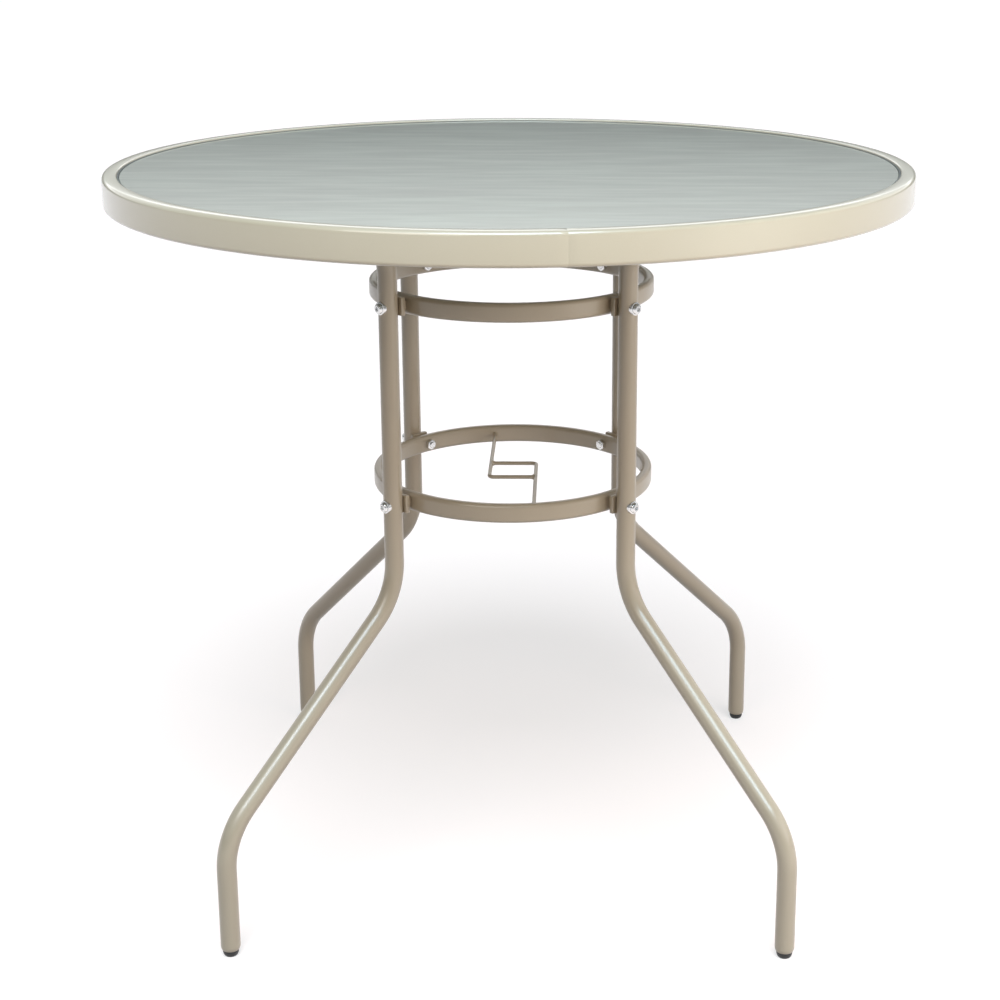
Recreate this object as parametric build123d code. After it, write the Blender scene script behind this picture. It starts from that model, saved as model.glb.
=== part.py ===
from build123d import *
import os

# Round garden table: a framed glass top on four bent tube legs that two hoops hold together.
# Millimetres, +Z up, with the origin on the floor under the middle of the top.
# What belongs to a leg is drawn in the XZ plane, with X pointing outward, and then turned to its corner.

# Driving dimensions: the top
TOP_DIAMETER = 800
TABLE_HEIGHT = 730
RIM_HEIGHT = 30
RIM_LAND = 15
RIM_STEP = 11
RIM_WALL = 1.0
RIM_CORNER = 4
RIM_SMALL_CORNER = 1.5
GLASS_THICKNESS = 5
GLASS_RECESS = 2
GLASS_ARRIS = 0.8
GASKET_SIDE = 1.5
GASKET_FLOOR = 1.0

# Driving dimensions: the legs
LEG_TUBE = 19
LEG_WALL = 1.2
LEG_BEND = 75
LEG_END_ROLL = 4
LEG_END_INSET = 0.9
LEG_RADIUS = 163
FOOT_RADIUS = 378
KNEE_HEIGHT = 314
ANKLE_HEIGHT = 124
ARM_HEIGHT = 711
ARM_ROUND_END = 330
LEG_CORNERS = {"front_left": 225, "front_right": 315, "back_right": 45, "back_left": 135}

# Driving dimensions: the flattened arm ends and the tabs they are bolted to
PADDLE_WIDTH = 24
PADDLE_THICKNESS = 3
PADDLE_START = 342
PADDLE_END = 369
TAB_WIDTH = 30
TAB_THICKNESS = 3
TAB_RISE = 2
TAB_START = 345
TAB_CORNER = 6
ARM_BOLT_RADIUS = 357

# Driving dimensions: the hoops and their saddles
HOOP_OUTER_RADIUS = 145
HOOP_HEIGHT = 19
HOOP_THICKNESS = 10
HOOP_WALL = 1.0
HOOP_CORNER = 4
HOOP_HEIGHTS = {"upper": 607, "lower": 407}
SADDLE_WIDTH = 20
SADDLE_HEIGHT = 18
SADDLE_THICKNESS = 5
SADDLE_SEAT_DEPTH = 1
SADDLE_EDGE = 1
BOSS_WIDTH = 12
BOSS_HEIGHT = 9

# Driving dimensions: the wire guide in the lower hoop
WIRE = 4
WIRE_BEND = 5
GUIDE_SQUARE = 48

# Driving dimensions: feet and fasteners
FOOT_HEIGHT = 7
FOOT_HEAD_DIAMETER = 15.6
FOOT_PAD_DIAMETER = 10
FOOT_COLLAR = 1.5
FOOT_STEM_LENGTH = 22
FOOT_BARB_PITCH = 5
FOOT_BARB_COUNT = 3
FOOT_DOME_RADIUS = 4.5
FIT_GAP = 0.1
BOLT = 6
BOLT_HOLE = 6.5
BOLT_TIP = 1.5
BOLT_HEAD = 10.5
BOLT_HEAD_HEIGHT = 3.3
BOLT_HEAD_ROUND = 2.8
SOCKET_FLATS = 4
SOCKET_DEPTH = 2
NUT_FLATS = 10
NUT_HEIGHT = 5
NUT_CHAMFER = 0.6
SADDLE_WASHER = 13
SADDLE_WASHER_CROWN = 1.2

# Sizes that follow from the driving dimensions
TOP_RADIUS = TOP_DIAMETER / 2
RIM_BOTTOM = TABLE_HEIGHT - RIM_HEIGHT
LAND_RADIUS = TOP_RADIUS - RIM_LAND
RIM_INNER_RADIUS = LAND_RADIUS - RIM_STEP
GLASS_TOP = TABLE_HEIGHT - GLASS_RECESS
GLASS_BOTTOM = GLASS_TOP - GLASS_THICKNESS
GLASS_RADIUS = LAND_RADIUS - GASKET_SIDE
STEP_FLOOR = GLASS_BOTTOM - GASKET_FLOOR
LEG_TUBE_RADIUS = LEG_TUBE / 2
LEG_BORE_RADIUS = LEG_TUBE_RADIUS - LEG_WALL
LEG_END_RADIUS = LEG_TUBE_RADIUS - LEG_END_INSET
LEG_MOUTH_RADIUS = LEG_BORE_RADIUS - LEG_END_INSET
LEG_ROLL_TOP = FOOT_HEIGHT + LEG_END_ROLL
LEG_INNER_FACE = LEG_RADIUS - LEG_TUBE_RADIUS
LEG_OUTER_FACE = LEG_RADIUS + LEG_TUBE_RADIUS
TAB_BOTTOM = RIM_BOTTOM + TAB_RISE
PADDLE_BOTTOM = TAB_BOTTOM + TAB_THICKNESS
PADDLE_TOP = PADDLE_BOTTOM + PADDLE_THICKNESS
HOOP_INNER_RADIUS = HOOP_OUTER_RADIUS - HOOP_THICKNESS
SADDLE_OUTER_FACE = LEG_INNER_FACE + SADDLE_SEAT_DEPTH
SADDLE_INNER_FACE = SADDLE_OUTER_FACE - SADDLE_THICKNESS
WASHER_FACE = LEG_OUTER_FACE + SADDLE_WASHER_CROWN
NUT_SAGITTA = NUT_FLATS**2 / (6 * HOOP_INNER_RADIUS)
NUT_FACE = HOOP_INNER_RADIUS - NUT_SAGITTA


def turned(shape, corner):
    """The shape, drawn in the XZ plane, at one of the four corners."""
    return Rot(0, 0, LEG_CORNERS[corner]) * shape


def radial_cylinder(radius, start, end, height):
    """A cylinder that points away from the table's axis, from one radius to another, at a height."""
    length = end - start
    return Pos(start + length / 2, 0, height) * Rot(0, 90, 0) * Cylinder(radius, length)


def upright_cylinder(radius, x, low, high):
    """A vertical cylinder at a distance from the table's axis, between two heights."""
    return Pos(x, 0, (low + high) / 2) * Cylinder(radius, high - low)


def outward_plane(x, height):
    """A plane that faces away from the table's axis."""
    return Plane(origin=(x, 0, height), x_dir=(0, 1, 0), z_dir=(1, 0, 0))


def revolved(section):
    """A ring made by turning an XZ section about the table's axis."""
    return revolve(Plane.XZ * section, Axis.Z)


# Rolled rim: a hollow steel section with a rebate at its top inner corner for the glass
def table_rim():
    outline = make_face(
        Polyline(
            (TOP_RADIUS, RIM_BOTTOM),
            (TOP_RADIUS, TABLE_HEIGHT),
            (LAND_RADIUS, TABLE_HEIGHT),
            (LAND_RADIUS, STEP_FLOOR),
            (RIM_INNER_RADIUS, STEP_FLOOR),
            (RIM_INNER_RADIUS, RIM_BOTTOM),
            close=True,
        )
    )
    outer_corners = outline.vertices().filter_by_position(Axis.X, TOP_RADIUS, TOP_RADIUS)
    bottom_corner = outline.vertices().sort_by(Axis.Y)[:2].sort_by(Axis.X)[:1]
    section = fillet(outer_corners + bottom_corner, RIM_CORNER)
    land_corner = section.vertices().sort_by_distance((LAND_RADIUS, TABLE_HEIGHT))[:1]
    section = fillet(land_corner, RIM_SMALL_CORNER)
    step_corner = section.vertices().sort_by_distance((RIM_INNER_RADIUS, STEP_FLOOR))[:1]
    section = fillet(step_corner, RIM_SMALL_CORNER)
    return revolved(section - offset(section, -RIM_WALL))


# Rubber strip that beds the glass in the rim's rebate
def glass_gasket():
    section = make_face(
        Polyline(
            (LAND_RADIUS, STEP_FLOOR),
            (LAND_RADIUS, GLASS_TOP - GLASS_ARRIS),
            (GLASS_RADIUS, GLASS_TOP - GLASS_ARRIS),
            (GLASS_RADIUS, GLASS_BOTTOM),
            (RIM_INNER_RADIUS + RIM_SMALL_CORNER, GLASS_BOTTOM),
            (RIM_INNER_RADIUS + RIM_SMALL_CORNER, STEP_FLOOR),
            close=True,
        )
    )
    return revolved(section)


# Toughened glass disc with its edges ground off
def glass_top():
    disc = upright_cylinder(GLASS_RADIUS, 0, GLASS_BOTTOM, GLASS_TOP)
    return chamfer(disc.edges().filter_by(GeomType.CIRCLE), GLASS_ARRIS)


# Lower end of a leg: the tube rolled in a little, to hold the foot's stem
def rolled_end():
    outline = Line((LEG_BORE_RADIUS, LEG_ROLL_TOP), (LEG_TUBE_RADIUS, LEG_ROLL_TOP))
    outline += TangentArc((LEG_TUBE_RADIUS, LEG_ROLL_TOP), (LEG_END_RADIUS, FOOT_HEIGHT), tangent=(0, -1))
    outline += Line((LEG_END_RADIUS, FOOT_HEIGHT), (LEG_MOUTH_RADIUS, FOOT_HEIGHT))
    outline += TangentArc((LEG_BORE_RADIUS, LEG_ROLL_TOP), (LEG_MOUTH_RADIUS, FOOT_HEIGHT), tangent=(0, -1))
    return Pos(FOOT_RADIUS, 0, 0) * revolved(make_face(outline))


# Leg: one tube bent three times, its top end pressed flat and pierced, with two cross holes for the hoops
def leg():
    centre_line = Plane.XZ * FilletPolyline(
        (FOOT_RADIUS, LEG_ROLL_TOP),
        (FOOT_RADIUS, ANKLE_HEIGHT),
        (LEG_RADIUS, KNEE_HEIGHT),
        (LEG_RADIUS, ARM_HEIGHT),
        (ARM_ROUND_END, ARM_HEIGHT),
        radius=LEG_BEND,
    )
    foot_plane = Plane(origin=(FOOT_RADIUS, 0, LEG_ROLL_TOP), z_dir=(0, 0, 1))
    tube = sweep(foot_plane * Circle(LEG_TUBE_RADIUS), centre_line)
    bore = sweep(foot_plane * Circle(LEG_BORE_RADIUS), centre_line)
    round_end = outward_plane(ARM_ROUND_END, ARM_HEIGHT) * Circle(LEG_TUBE_RADIUS)
    flat_plane = outward_plane(PADDLE_START, PADDLE_BOTTOM + PADDLE_THICKNESS / 2)
    flat_end = flat_plane * Ellipse(PADDLE_WIDTH / 2, PADDLE_THICKNESS / 2)
    pressed = loft([round_end, flat_end])
    paddle_length = PADDLE_END - PADDLE_START
    paddle_plan = Pos(PADDLE_START + paddle_length / 2, 0) * RectangleRounded(
        paddle_length, PADDLE_WIDTH, TAB_CORNER
    )
    paddle = Pos(0, 0, PADDLE_BOTTOM) * extrude(paddle_plan, PADDLE_THICKNESS)
    shape = tube + pressed + paddle - bore + rolled_end()
    shape -= upright_cylinder(BOLT_HOLE / 2, ARM_BOLT_RADIUS, PADDLE_BOTTOM, PADDLE_TOP)
    for height in HOOP_HEIGHTS.values():
        shape -= radial_cylinder(BOLT_HOLE / 2, HOOP_OUTER_RADIUS, LEG_OUTER_FACE + LEG_TUBE, height)
    return shape


# Hoop: a flat-sided tube rolled into a ring, cross drilled for the four leg bolts
def hoop(height):
    middle = Pos(HOOP_OUTER_RADIUS - HOOP_THICKNESS / 2, height)
    bore_width = HOOP_THICKNESS - 2 * HOOP_WALL
    bore_height = HOOP_HEIGHT - 2 * HOOP_WALL
    section = middle * RectangleRounded(HOOP_THICKNESS, HOOP_HEIGHT, HOOP_CORNER)
    section -= middle * RectangleRounded(bore_width, bore_height, HOOP_CORNER - HOOP_WALL)
    shape = revolved(section)
    for corner in LEG_CORNERS:
        shape -= turned(radial_cylinder(BOLT_HOLE / 2, 0, HOOP_OUTER_RADIUS + HOOP_WALL, height), corner)
    return shape


# Saddle: a plate hollowed to fit the leg, on a short boss that keeps it off the hoop
def saddle(height):
    plate = Pos((SADDLE_INNER_FACE + SADDLE_OUTER_FACE) / 2, 0, height) * Box(
        SADDLE_THICKNESS, SADDLE_WIDTH, SADDLE_HEIGHT
    )
    plate = fillet(plate.edges().filter_by(Axis.X), SADDLE_EDGE)
    boss_length = SADDLE_INNER_FACE - HOOP_INNER_RADIUS
    boss = Pos(HOOP_INNER_RADIUS + boss_length / 2, 0, height) * Box(boss_length, BOSS_WIDTH, BOSS_HEIGHT)
    low = height - HOOP_HEIGHT
    high = height + HOOP_HEIGHT
    shape = plate + boss
    shape -= upright_cylinder(LEG_TUBE_RADIUS, LEG_RADIUS, low, high)
    shape -= upright_cylinder(HOOP_OUTER_RADIUS, 0, low, high)
    return shape - radial_cylinder(BOLT_HOLE / 2, HOOP_INNER_RADIUS, LEG_RADIUS, height)


# Curved washer between a bolt's head and the round leg
def saddle_washer(height):
    disc = radial_cylinder(SADDLE_WASHER / 2, LEG_RADIUS, WASHER_FACE, height)
    disc -= upright_cylinder(LEG_TUBE_RADIUS, LEG_RADIUS, height - SADDLE_WASHER, height + SADDLE_WASHER)
    return disc - radial_cylinder(BOLT_HOLE / 2, LEG_RADIUS, WASHER_FACE, height)


# Button-headed bolt with a hexagon socket, head up, its seat at the origin
def bolt(length):
    head = extrude(Circle(BOLT_HEAD / 2), BOLT_HEAD_HEIGHT)
    head = fillet(head.edges().sort_by(Axis.Z)[-1], BOLT_HEAD_ROUND)
    socket_radius = SOCKET_FLATS / 3**0.5
    socket = extrude(RegularPolygon(socket_radius, 6), -SOCKET_DEPTH)
    shank = extrude(Circle(BOLT / 2), -length)
    return head + shank - Pos(0, 0, BOLT_HEAD_HEIGHT) * socket


# Hexagon nut, standing on the origin
def nut():
    hexagon = extrude(RegularPolygon(NUT_FLATS / 3**0.5, 6), NUT_HEIGHT)
    blank = extrude(Circle(NUT_FLATS / 2 + NUT_CHAMFER), NUT_HEIGHT)
    blank = chamfer(blank.edges().filter_by(GeomType.CIRCLE), NUT_CHAMFER)
    return (hexagon & blank) - extrude(Circle(BOLT / 2), NUT_HEIGHT)


def hoop_bolt(height):
    length = WASHER_FACE - (NUT_FACE - NUT_HEIGHT - BOLT_TIP)
    return Pos(WASHER_FACE, 0, height) * Rot(0, 90, 0) * bolt(length)


def hoop_nut(height):
    return Pos(NUT_FACE, 0, height) * Rot(0, -90, 0) * nut()


# Tab welded to the inside of the rim, under the flattened end of an arm
def rim_tab():
    length = TOP_RADIUS - TAB_START
    plan = Pos(TAB_START + length / 2, 0) * RectangleRounded(length, TAB_WIDTH, TAB_CORNER)
    tab = Pos(0, 0, TAB_BOTTOM) * extrude(plan, TAB_THICKNESS)
    tab &= upright_cylinder(RIM_INNER_RADIUS, 0, TAB_BOTTOM, PADDLE_BOTTOM)
    return tab - upright_cylinder(BOLT_HOLE / 2, ARM_BOLT_RADIUS, TAB_BOTTOM, PADDLE_BOTTOM)


def arm_bolt():
    length = TAB_THICKNESS + PADDLE_THICKNESS + NUT_HEIGHT + BOLT_TIP
    return Pos(ARM_BOLT_RADIUS, 0, TAB_BOTTOM) * Rot(180, 0, 0) * bolt(length)


def arm_nut():
    return Pos(ARM_BOLT_RADIUS, 0, PADDLE_TOP) * nut()


# Moulded foot: a domed glide under the tube and a stem inside it, with barbs that hold in the bore
def foot():
    head_radius = FOOT_HEAD_DIAMETER / 2
    pad_radius = FOOT_PAD_DIAMETER / 2
    stem_radius = LEG_MOUTH_RADIUS - FIT_GAP
    barb_radius = LEG_BORE_RADIUS - FIT_GAP
    shoulder = FOOT_HEIGHT - FOOT_COLLAR
    outline = Line((0, 0), (pad_radius, 0))
    outline += RadiusArc((pad_radius, 0), (head_radius, shoulder), -FOOT_DOME_RADIUS)
    outline += Polyline(
        (head_radius, shoulder),
        (head_radius, FOOT_HEIGHT),
        (stem_radius, FOOT_HEIGHT),
        (stem_radius, FOOT_HEIGHT + FOOT_STEM_LENGTH),
        (0, FOOT_HEIGHT + FOOT_STEM_LENGTH),
        (0, 0),
    )
    shape = revolved(make_face(outline))
    for index in range(FOOT_BARB_COUNT):
        base = FOOT_HEIGHT + FOOT_BARB_PITCH * (index + 1)
        shape += Pos(0, 0, base) * Cone(
            barb_radius, stem_radius, FOOT_BARB_PITCH / 2, align=(Align.CENTER, Align.CENTER, Align.MIN)
        )
    return Pos(FOOT_RADIUS, 0, 0) * shape


# Wire guide: two bent wires, each welded to the hoop at one end and to the other wire's side at its other end
def guide_wire():
    half = GUIDE_SQUARE / 2
    height = HOOP_HEIGHTS["lower"]
    start = (-half, HOOP_OUTER_RADIUS)
    end = (half - WIRE / 2, -half)
    route = Pos(0, 0, height) * FilletPolyline(start, (-half, -half), end, radius=WIRE_BEND)
    end_plane = Plane(origin=(*start, height), z_dir=(0, -1, 0))
    wire = sweep(end_plane * Circle(WIRE / 2), route)
    return wire & upright_cylinder(HOOP_INNER_RADIUS, 0, height - WIRE, height + WIRE)


def all_corners(shape):
    """One copy of a shape for every corner."""
    return [turned(shape, corner) for corner in LEG_CORNERS]


def all_hoop_corners(make):
    """One copy for every corner of both hoops."""
    return [shape for height in HOOP_HEIGHTS.values() for shape in all_corners(make(height))]


def nodes():
    """Every node's name with its solids."""
    made = {"table_rim": [table_rim()], "glass_gasket": [glass_gasket()], "glass_top": [glass_top()]}
    one_leg = leg()
    one_foot = foot()
    one_tab = rim_tab()
    for corner in LEG_CORNERS:
        made[f"leg_{corner}"] = [turned(one_leg, corner)]
        made[f"foot_{corner}"] = [turned(one_foot, corner)]
        made[f"rim_tab_{corner}"] = [turned(one_tab, corner)]
    for level, height in HOOP_HEIGHTS.items():
        made[f"{level}_hoop"] = [hoop(height)]
        for corner in LEG_CORNERS:
            made[f"{level}_saddle_{corner}"] = [turned(saddle(height), corner)]
    wire = guide_wire()
    made["guide_wire_back"] = [wire]
    made["guide_wire_front"] = [Rot(0, 0, 180) * wire]
    made["hoop_bolts"] = all_hoop_corners(hoop_bolt)
    made["hoop_bolt_washers"] = all_hoop_corners(saddle_washer)
    made["hoop_nuts"] = all_hoop_corners(hoop_nut)
    made["arm_bolts"] = all_corners(arm_bolt())
    made["arm_nuts"] = all_corners(arm_nut())
    return made


os.makedirs("parts", exist_ok=True)
for name, shapes in nodes().items():
    solids = [solid for shape in shapes for solid in shape.solids()]
    export_step(Compound(children=solids) if len(solids) > 1 else solids[0], f"parts/{name}.step")
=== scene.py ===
"""A round garden table: a glass top in a rolled rim on four bent tube legs, dressed around its CAD frame."""

import math

import bmesh
import bpy
from mathutils import Matrix, Vector, noise


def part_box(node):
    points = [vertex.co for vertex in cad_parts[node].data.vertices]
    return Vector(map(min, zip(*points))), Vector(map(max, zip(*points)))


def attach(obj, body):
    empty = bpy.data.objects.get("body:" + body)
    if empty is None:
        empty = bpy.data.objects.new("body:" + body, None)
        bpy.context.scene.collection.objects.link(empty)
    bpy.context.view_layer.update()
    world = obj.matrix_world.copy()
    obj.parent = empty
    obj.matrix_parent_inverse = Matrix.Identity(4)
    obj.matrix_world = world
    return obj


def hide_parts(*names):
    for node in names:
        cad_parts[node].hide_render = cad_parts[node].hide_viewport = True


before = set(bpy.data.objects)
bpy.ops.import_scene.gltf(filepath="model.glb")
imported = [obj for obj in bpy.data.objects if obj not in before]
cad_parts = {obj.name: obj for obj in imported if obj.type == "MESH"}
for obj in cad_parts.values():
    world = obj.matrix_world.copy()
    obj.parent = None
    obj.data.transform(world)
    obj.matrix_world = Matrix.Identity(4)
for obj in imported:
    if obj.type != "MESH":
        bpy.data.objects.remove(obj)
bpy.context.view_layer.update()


# Legs. Each is one length of round steel tube bent three times: up from the foot, in along the splay,
# up through the hoops and out again as an arm under the glass. The arm's end is pressed flat for a bolt,
# the lower end is rolled in a little round its plug, and the whole is powder coated in a taupe satin.
TUBE_DIAMETER = 0.019
TUBE_BEND = 0.075
TUBE_BEND_STEPS = 28
TUBE_SIDES = 56
LEG_RADIUS = 0.163
FOOT_RADIUS = 0.378
FOOT_HEIGHT = 0.007
ANKLE_HEIGHT = 0.124
KNEE_HEIGHT = 0.314
ARM_HEIGHT = 0.711
PRESS_START = 0.330
PRESS_END = 0.343
PRESS_STEPS = 26
PADDLE_END = 0.369
PADDLE_WIDTH = 0.024
PADDLE_THICKNESS = 0.003
PADDLE_HEIGHT = 0.7065
PADDLE_CORNER = 0.006
PADDLE_SIDE_POWER = 0.55
PADDLE_FACE_POWER = 0.3
ROLLED_LENGTH = 0.004
ROLLED_IN = 0.0009
ROLLED_STEPS = 7
LEG_ANGLES = {"front_left": 225, "front_right": 315, "back_right": 45, "back_left": 135}
FRAME_TINT = (0.438, 0.356, 0.260, 1)
FRAME_SHADE = (0.398, 0.320, 0.230, 1)
FRAME_ROUGHNESS = (0.28, 0.36)
FRAME_GLOSS = 0.25
PAINT_SPECULAR = 0.9
PAINT_FILM_ROUGHNESS = 0.08
PAINT_CLOUDS = 9.0
PAINT_FLECKS = 900.0
PAINT_FLECK_SHARE = 0.4
PAINT_PEEL = 520.0
PAINT_PEEL_STRENGTH = 0.12
PAINT_PEEL_DEPTH = 0.0003
NOISE_LOW = 0.3
NOISE_HIGH = 0.7
SMOOTH_ANGLE = math.radians(35)
MERGE_DISTANCE = 2e-6


def add(tree, kind, **values):
    """A new node in a tree, with its input sockets set by name."""
    made = tree.nodes.new(kind)
    for socket, value in values.items():
        made.inputs[socket.replace("_", " ")].default_value = value
    return made


def between(tree, factor, first, second):
    """The colour between two tints that a factor picks."""
    mix = add(tree, "ShaderNodeMix")
    mix.data_type = "RGBA"
    tint_sockets = [socket for socket in mix.inputs if socket.type == "RGBA"]
    tint_sockets[0].default_value = first
    tint_sockets[1].default_value = second
    tree.links.new(factor, mix.inputs[0])
    return next(socket for socket in mix.outputs if socket.type == "RGBA")


def spread(tree, factor, low, high):
    """A number from low to high that a noise factor picks."""
    limits = {"From_Min": NOISE_LOW, "From_Max": NOISE_HIGH, "To_Min": low, "To_Max": high}
    scale = add(tree, "ShaderNodeMapRange", **limits)
    tree.links.new(factor, scale.inputs["Value"])
    return scale.outputs["Result"]


def relief(tree, height, strength, distance):
    """The surface normal that a height pattern gives."""
    bump = add(tree, "ShaderNodeBump", Strength=strength, Distance=distance)
    tree.links.new(height, bump.inputs["Height"])
    return bump.outputs["Normal"]


def pattern(tree, scale, detail, stretch=(1, 1, 1)):
    """The factor of a noise pattern on the piece's own coordinates, in lumps per metre."""
    place = add(tree, "ShaderNodeTexCoord")
    mapping = add(tree, "ShaderNodeMapping", Scale=stretch)
    lumps = add(tree, "ShaderNodeTexNoise", Scale=scale, Detail=detail)
    tree.links.new(place.outputs["Object"], mapping.inputs["Vector"])
    tree.links.new(mapping.outputs["Vector"], lumps.inputs["Vector"])
    return lumps.outputs["Fac"]


def finish_named(name):
    """A new material, its node tree and its shader."""
    finish = bpy.data.materials.new(name)
    finish.use_nodes = True
    return finish, finish.node_tree, finish.node_tree.nodes["Principled BSDF"]


def powder_coat(name, tint, shade, roughness, gloss):
    """Baked powder paint: two close tints in soft clouds and flecks under the cured film's orange peel."""
    finish, tree, shader = finish_named(name)
    shader.inputs["Specular IOR Level"].default_value = PAINT_SPECULAR
    shader.inputs["Coat Weight"].default_value = gloss
    shader.inputs["Coat Roughness"].default_value = PAINT_FILM_ROUGHNESS
    clouds = pattern(tree, PAINT_CLOUDS, detail=4)
    flecks = pattern(tree, PAINT_FLECKS, detail=1)
    peel = pattern(tree, PAINT_PEEL, detail=2)
    mottle = add(tree, "ShaderNodeMath")
    mottle.operation = "MULTIPLY_ADD"
    mottle.inputs[1].default_value = PAINT_FLECK_SHARE
    tree.links.new(flecks, mottle.inputs[0])
    tree.links.new(clouds, mottle.inputs[2])
    tree.links.new(between(tree, mottle.outputs["Value"], shade, tint), shader.inputs["Base Color"])
    tree.links.new(spread(tree, clouds, *roughness), shader.inputs["Roughness"])
    tree.links.new(relief(tree, peel, PAINT_PEEL_STRENGTH, PAINT_PEEL_DEPTH), shader.inputs["Normal"])
    return finish


def new_tree(name, sizes):
    """An empty Geometry Nodes tree, with a shape in, a named input for each size and a shape out."""
    tree = bpy.data.node_groups.new(name, "GeometryNodeTree")
    tree.interface.new_socket("Shape", in_out="INPUT", socket_type="NodeSocketGeometry")
    for size, kind in sizes.items():
        tree.interface.new_socket(size, in_out="INPUT", socket_type="NodeSocket" + kind)
    tree.interface.new_socket("Shape", in_out="OUTPUT", socket_type="NodeSocketGeometry")
    return tree, tree.nodes.new("NodeGroupInput").outputs


def end_tree(tree, shape, finish):
    """The end of every tree: instances made real, then the piece's finish."""
    real = add(tree, "GeometryNodeRealizeInstances")
    coat = add(tree, "GeometryNodeSetMaterial", Material=finish)
    result = tree.nodes.new("NodeGroupOutput")
    tree.links.new(shape, real.inputs["Geometry"])
    tree.links.new(real.outputs["Geometry"], coat.inputs["Geometry"])
    tree.links.new(coat.outputs["Geometry"], result.inputs["Shape"])


def placed(name, shape):
    """An object at the origin for a mesh: doubles merged, faces outwards, smooth but for sharp edges."""
    work = bmesh.new()
    work.from_mesh(shape)
    bmesh.ops.remove_doubles(work, verts=work.verts, dist=MERGE_DISTANCE)
    bmesh.ops.recalc_face_normals(work, faces=work.faces)
    work.to_mesh(shape)
    work.free()
    shape.polygons.foreach_set("use_smooth", [True] * len(shape.polygons))
    shape.set_sharp_from_angle(angle=SMOOTH_ANGLE)
    piece = bpy.data.objects.new(name, shape)
    bpy.context.collection.objects.link(piece)
    return piece


def grown(name, start, tree, sizes):
    """The plain mesh that a tree grows from a start mesh, once its sizes are set."""
    seed = bpy.data.objects.new(name + "_start", start)
    bpy.context.collection.objects.link(seed)
    modifier = seed.modifiers.new(tree.name, "NODES")
    modifier.node_group = tree
    sockets = {item.name: item.identifier for item in tree.interface.items_tree if item.in_out == "INPUT"}
    for size, value in sizes.items():
        modifier[sockets[size]] = value
    depsgraph = bpy.context.evaluated_depsgraph_get()
    shape = bpy.data.meshes.new_from_object(seed.evaluated_get(depsgraph))
    bpy.data.objects.remove(seed)
    shape.name = name
    return shape


def route(name, points):
    """A start mesh of bare points joined one to the next."""
    line = bpy.data.meshes.new(name)
    line.from_pydata(points, [(step, step + 1) for step in range(len(points) - 1)], [])
    return line


def settle(piece, slot, *nodes):
    """The piece rides on the table's one body and stands for its CAD nodes, which are hidden; the slot is
    not used.
    """
    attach(piece, "root")
    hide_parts(*nodes)


def bent_tube_tree(name, finish, sides, bend_steps):
    """A tree that bends a round tube along a route, with a rounded bend at each corner."""
    tree, sizes = new_tree(name, {"Tube Diameter": "Float", "Bend Radius": "Float"})
    path = add(tree, "GeometryNodeMeshToCurve")
    bends = add(tree, "GeometryNodeFilletCurve")
    bends.mode = "POLY"
    bends.inputs["Count"].default_value = bend_steps
    half = add(tree, "ShaderNodeMath")
    half.operation = "MULTIPLY"
    half.inputs[1].default_value = 0.5
    section = add(tree, "GeometryNodeCurvePrimitiveCircle", Resolution=sides)
    tube = add(tree, "GeometryNodeCurveToMesh", Fill_Caps=True)
    tree.links.new(sizes["Shape"], path.inputs["Mesh"])
    tree.links.new(path.outputs["Curve"], bends.inputs["Curve"])
    tree.links.new(sizes["Bend Radius"], bends.inputs["Radius"])
    tree.links.new(sizes["Tube Diameter"], half.inputs[0])
    tree.links.new(half.outputs["Value"], section.inputs["Radius"])
    tree.links.new(bends.outputs["Curve"], tube.inputs["Curve"])
    tree.links.new(section.outputs["Curve"], tube.inputs["Profile Curve"])
    end_tree(tree, tube.outputs["Mesh"], finish)
    return tree


def leg_route():
    """The tube's centre line at azimuth 0, with close points where the ends are rolled and pressed."""
    rolled = []
    for step in range(ROLLED_STEPS + 1):
        rolled.append((FOOT_RADIUS, 0, FOOT_HEIGHT + ROLLED_LENGTH * step / ROLLED_STEPS))
    bends = [(FOOT_RADIUS, 0, ANKLE_HEIGHT), (LEG_RADIUS, 0, KNEE_HEIGHT), (LEG_RADIUS, 0, ARM_HEIGHT)]
    run = PADDLE_END - PRESS_START
    arm = [(PRESS_START + run * step / PRESS_STEPS, 0, ARM_HEIGHT) for step in range(PRESS_STEPS + 1)]
    return rolled + bends + arm


def pressed(point):
    """A point of the round arm, moved to where the press leaves it on the flat end."""
    share = min(1, (point.x - PRESS_START) / (PRESS_END - PRESS_START))
    share = share * share * (3 - 2 * share)
    turn = math.atan2(point.z - ARM_HEIGHT, point.y)
    past_corner = max(0, point.x - (PADDLE_END - PADDLE_CORNER))
    rounded = math.sqrt(max(0, PADDLE_CORNER**2 - past_corner**2))
    half_width = PADDLE_WIDTH / 2 - PADDLE_CORNER + rounded
    across = half_width * math.copysign(abs(math.cos(turn)) ** PADDLE_SIDE_POWER, math.cos(turn))
    up = PADDLE_THICKNESS / 2 * math.copysign(abs(math.sin(turn)) ** PADDLE_FACE_POWER, math.sin(turn))
    return point.lerp(Vector((point.x, across, PADDLE_HEIGHT + up)), share)


def rolled_in(point):
    """A point near the tube's lower end, drawn in on an arc that starts along the tube."""
    arc_radius = (ROLLED_LENGTH**2 + ROLLED_IN**2) / (2 * ROLLED_IN)
    below = FOOT_HEIGHT + ROLLED_LENGTH - point.z
    inset = arc_radius - math.sqrt(arc_radius**2 - below**2)
    scale = 1 - inset / (TUBE_DIAMETER / 2)
    return Vector((FOOT_RADIUS + (point.x - FOOT_RADIUS) * scale, point.y * scale, point.z))


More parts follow.
